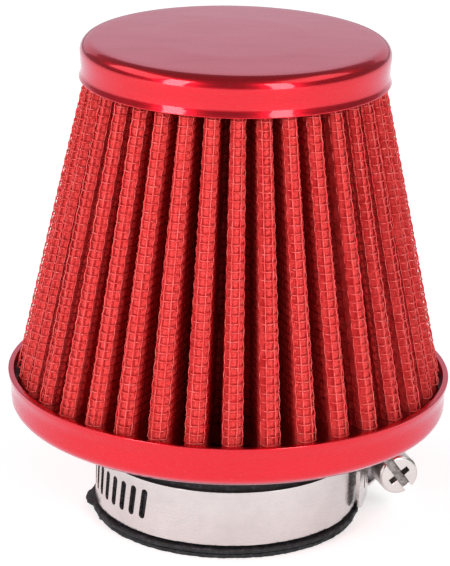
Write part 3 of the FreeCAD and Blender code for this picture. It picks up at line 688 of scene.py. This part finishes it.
def pillowed_gauze(fold, material, halves):
    """Outer gauze: pleated cloth that swells a little through every opening of the screen."""
    step = MESH_PITCH / CELL_STEPS
    fine = np.arange(0, FINE_STEPS) * step
    rest = np.linspace(0, 1, COARSE_STEPS)[1:]
    bottom, top = GAUZE_BOTTOM, SCREEN_TOP
    heights = np.linspace(bottom, top, int((top - bottom) / step) + 1)
    for half in range(halves):
        pleats = range(half * PLEATS // halves, (half + 1) * PLEATS // halves)
        sheets, lengths, shades, warps, wefts = [], [], [], [], []  # a row for each height
        for height in heights:
            reach = fold.length * scale_at(height)
            positive = np.concatenate([fine, fine[-1] + (reach - fine[-1]) * rest])
            along = np.concatenate([-positive[::-1], positive[1:]])
            row, run, shade, warp, count = [], [], [], [], []
            for pleat in pleats:
                azimuth = FIRST_PLEAT + pleat * PITCH
                angle = azimuth + along / reach * PITCH / 2
                weft = (height - first_weft(angle)) / MESH_PITCH
                cell = np.cos(math.pi * along / MESH_PITCH) ** 2 * np.sin(math.pi * weft) ** 2
                fade = np.clip((PILLOWED_REACH - np.abs(along)) / PILLOW_FADE, 0, 1)
                open_end = np.clip((height - SCREEN_BOTTOM) / MM, 0, 1)
                swell = PILLOW * cell * fade * open_end
                phase = (along / MM * RIPPLE_ALONG + height / MM * RIPPLE_UP
                         + pleat * RIPPLE_PER_PLEAT)
                swell += CLOTH_RIPPLE * np.sin(phase) * fade
                row.append(fold.at(pleat, along, np.full(len(along), height), swell)[:-1])
                run.append((along + pleat * 2 * fold.length)[:-1])
                # painted shade of the folds at each point of the cloth
                shade.append(fold_grime(along)[:-1])
                warp.append(along[:-1] / MESH_PITCH + 0.5)
                count.append(weft[:-1])
            sheets.append(np.vstack(row))
            lengths.append(np.concatenate(run))
            shades.append(np.concatenate(shade))
            warps.append(np.concatenate(warp))
            wefts.append(np.concatenate(count))
        outside = np.array(sheets)
        rows, columns = outside.shape[:2]
        uv = np.stack([np.array(lengths), np.repeat(heights[:, None], columns, axis=1)], axis=-1)
        faces = grid_faces(rows, columns)
        make_piece("gauze_outer_%d" % (half + 1), outside.reshape(-1, 3), faces, material,
                   nodes=["gauze_layer_1"], slot="oiled_gauze", uv=uv.reshape(-1, 2),
                   marks={"grime": np.array(shades).ravel(), "warp_count": np.array(warps).ravel(),
                          "weft_count": np.array(wefts).ravel()})


# ---------------------------------------------------------------- CAD pieces made finer


JOINTS = {joint["name"]: joint for joint in frame["record"]["behaviour"]["joints"]}
SCREW_AXIS = JOINTS["screw_turn"]["axis"]
SCREW_PLACE = JOINTS["screw_turn"]["pos_m"]


def refined(node, material, body, bevel, grime=None):
    """A copy of a CAD node with rounded edges; the copy stands for the node."""
    work = bmesh.new()
    work.from_mesh(frame["nodes"][node].data)
    bmesh.ops.remove_doubles(work, verts=work.verts, dist=WELD_DISTANCE)
    bmesh.ops.dissolve_limit(work, angle_limit=FLAT_ANGLE, verts=work.verts, edges=work.edges)
    sharp = [e for e in work.edges
             if len(e.link_faces) == 2 and e.calc_face_angle(0) > SHARP_ANGLE]
    bmesh.ops.bevel(work, geom=sharp, offset=bevel, offset_type="OFFSET", segments=2,
                    profile=0.5, affect="EDGES", clamp_overlap=True)
    mesh = bpy.data.meshes.new(node + "_fine")
    work.to_mesh(mesh)
    work.free()
    mesh.polygons.foreach_set("use_smooth", [True] * len(mesh.polygons))
    mesh.set_sharp_from_angle(angle=SMOOTH_ANGLE)
    # faces that get painted shade, such as the screw's drive recess
    if grime is not None:
        layer = mesh.attributes.new("grime", "FLOAT", "FACE")
        middles = np.array([face.center for face in mesh.polygons])
        layer.data.foreach_set("value", grime(middles).astype(np.float32))
    mesh.materials.clear()
    mesh.materials.append(material)
    piece = bpy.data.objects.new(node + "_fine", mesh)
    bpy.context.scene.collection.objects.link(piece)
    normals = piece.modifiers.new("even_shading", "WEIGHTED_NORMAL")
    normals.keep_sharp = True
    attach(piece, body)
    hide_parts(node)


def recess_grime(points):
    """Painted shade in the drive recess: faces sunk below the head's face and inside its side."""
    axis = np.array(SCREW_AXIS)
    along = points @ axis
    sunk = along.max() - along
    away = points - np.array(SCREW_PLACE)
    away = away - np.outer(away @ axis, axis)
    radius = np.linalg.norm(away, axis=1)
    inside = (sunk > RECESS_SUNK) & (sunk < RECESS_DEEPEST) & (radius < RECESS_RADIUS)
    return np.where(inside, RECESS_PAINTED_SHADE, 0.0)


def finish_node(node, material):
    """Gives a CAD node that is shown as it is its material."""
    mesh = frame["nodes"][node].data
    mesh.materials.clear()
    mesh.materials.append(material)


# ---------------------------------------------------------------- the object


def cap_dent(radius, height, angle):
    """The pressed cap is out of round by a few hundredths."""
    return radius * (1 + waves(angle, 21, (2, 3, 5), CAP_WAVE))


def tray_dent(radius, height, angle):
    """The tray wall is slightly wavy from pressing."""
    return radius * (1 + waves(angle, 22, (2, 3, 7, 11), TRAY_WAVE))


def rubber_dent(radius, height, angle):
    """The moulded neck is rough at its free ribs, with a lump of flash on the left."""
    free = np.clip((ROUGH_TOP - height) / ROUGH_FADE, 0, 1) * (radius > ROUGH_RADIUS)
    x, y = radius * np.sin(angle), -radius * np.cos(angle)
    rough = np.zeros(radius.shape)
    for index in np.ndindex(*radius.shape):
        if free[index] > 0:
            here = Vector((x[index], y[index], height[index])) / MM
            rough[index] = (COARSE_ROUGHNESS * noise.noise(here * COARSE_SCALE)
                            + FINE_ROUGHNESS * noise.noise(here * FINE_SCALE))
    turn = (np.degrees(angle) + 180) % 360 - 180
    lump = (FLASH_SIZE * np.exp(-((turn - FLASH_AZIMUTH) / FLASH_SPREAD) ** 4)
            * np.exp(-((height / MM - FLASH_HEIGHT) / FLASH_DEPTH) ** 4))
    return radius + (rough + lump) * free * MM


def build_object():
    """Every visible piece of the filter and its clamp."""
    red = anodised_red()
    gauze = oiled_gauze()
    wire = screen_wire()
    rubber = neck_rubber()
    potting = sealant()
    band_steel = rolled_steel("clamp_steel", (0.64, 0.60, 0.595, 1), (0.56, 0.525, 0.52, 1),
                              stretch=(1, 1, 22), rough=0.24)
    screw_steel = rolled_steel("screw_steel", (0.70, 0.66, 0.64, 1), (0.60, 0.57, 0.55, 1),
                               stretch=(1, 1, 1), rough=0.28)
    clip_steel = rolled_steel("clip_steel", (0.50, 0.48, 0.46, 1), (0.40, 0.38, 0.37, 1),
                              stretch=(9, 9, 1), rough=0.35)

    turned_piece("cap_shell", CAP_PROFILE, red, segments=256, dent=cap_dent,
                 nodes=["top_cap"], slot="anodised_red")
    turned_piece("tray_shell", TRAY_PROFILE, red, segments=288, dent=tray_dent,
                 nodes=["base_ring"], slot="anodised_red")
    turned_piece("neck_moulding", NECK_PROFILE, rubber, segments=320, dent=rubber_dent,
                 longest=0.35 * MM, nodes=["rubber_neck"], slot="neck_rubber")

    woven_screen("screen", Fold(WIRE_RADIUS + CRIMP, 0.0), MESH_PITCH, SCREEN_BOTTOM, SCREEN_TOP,
                 wire, "outer_screen", halves=2)
    pillowed_gauze(Fold(GAUZE_DEPTH, GAUZE_STANDOFF), gauze, halves=2)
    woven_screen("inner_screen", Fold(INNER_DEPTH, INNER_STANDOFF), 2 * MESH_PITCH, GAUZE_BOTTOM,
                 SCREEN_TOP, wire, "inner_screen", halves=1)
    for layer in (2, 3, 4):
        finish_node("gauze_layer_%d" % layer, gauze)
    finish_node("cap_sealant", potting)
    finish_node("base_sealant", potting)
    finish_node("seam_clip", clip_steel)

    refined("clamp_band", band_steel, "clamp", 0.07 * MM)
    refined("clamp_housing", band_steel, "clamp", 0.10 * MM)
    refined("clamp_saddle", band_steel, "clamp", 0.08 * MM)
    refined("clamp_screw", screw_steel, "screw", 0.10 * MM, grime=recess_grime)


# ---------------------------------------------------------------- studio


def add_camera():
    """Long lens, slightly above the object and rolled by a little over a degree."""
    elevation, roll = 18.85 * DEGREE, 1.32 * DEGREE
    target = Vector((-0.84 * MM, 0, 37.35 * MM))
    distance = 430.3 * MM
    back = Vector((0, -math.cos(elevation), math.sin(elevation)))
    right = Vector((1, 0, 0))
    up = back.cross(right)
    across = right * math.cos(roll) + up * math.sin(roll)
    over = up * math.cos(roll) - right * math.sin(roll)
    camera = bpy.data.objects.new("camera", bpy.data.cameras.new("camera"))
    camera.data.lens = 176.1
    camera.data.sensor_width = 36.0
    camera.data.clip_start, camera.data.clip_end = 0.01, 20.0
    turn = Matrix((across, over, back)).transposed().to_4x4()
    camera.matrix_world = Matrix.Translation(target + back * distance) @ turn
    bpy.context.scene.collection.objects.link(camera)
    bpy.context.scene.camera = camera


def add_light(name, place, target, width, height, radiance, colour=(1, 1, 1)):
    """A soft box of a given brightness that faces a point."""
    light = bpy.data.lights.new(name, "AREA")
    light.shape, light.size, light.size_y = "RECTANGLE", width, height
    light.energy = radiance * math.pi * width * height
    light.color = colour
    lamp = bpy.data.objects.new(name, light)
    lamp.location = place
    lamp.rotation_euler = (Vector(target) - Vector(place)).to_track_quat("-Z", "Y").to_euler()
    bpy.context.scene.collection.objects.link(lamp)


def add_studio():
    """Pale floor, soft boxes low and high on both sides and a bright panel behind."""
    mesh = bpy.data.meshes.new("floor")
    reach = 6.0
    corners = [(-reach, -reach, 0), (reach, -reach, 0), (reach, reach, 0), (-reach, reach, 0)]
    mesh.from_pydata(corners, [], [(0, 1, 2, 3)])
    mesh.materials.append(pale_floor())
    floor = bpy.data.objects.new("floor", mesh)
    bpy.context.scene.collection.objects.link(floor)
    world = bpy.data.worlds.new("studio")
    bpy.context.scene.world = world
    world.use_nodes = True
    world.node_tree.nodes["Background"].inputs["Color"].default_value = (1.0, 1.0, 1.0, 1)
    world.node_tree.nodes["Background"].inputs["Strength"].default_value = 0.26
    centre = (0, 0, 0.04)
    add_light("left_box", (-0.67, -0.69, 0.40), centre, 0.29, 0.88, 7.7)
    add_light("right_box", (0.52, -0.78, 0.41), centre, 0.28, 0.88, 6.7)
    add_light("left_strip", (-0.78, -0.04, 0.66), centre, 0.80, 0.50, 1.7)
    add_light("right_strip", (0.62, -0.10, 0.80), centre, 0.75, 0.50, 1.3)
    add_light("back_panel", (0.0, 1.10, 0.42), centre, 1.90, 0.55, 0.57, (1.0, 0.94, 1.04))
    bpy.context.scene.view_settings.view_transform = "Standard"


build_object()
add_camera()
add_studio()
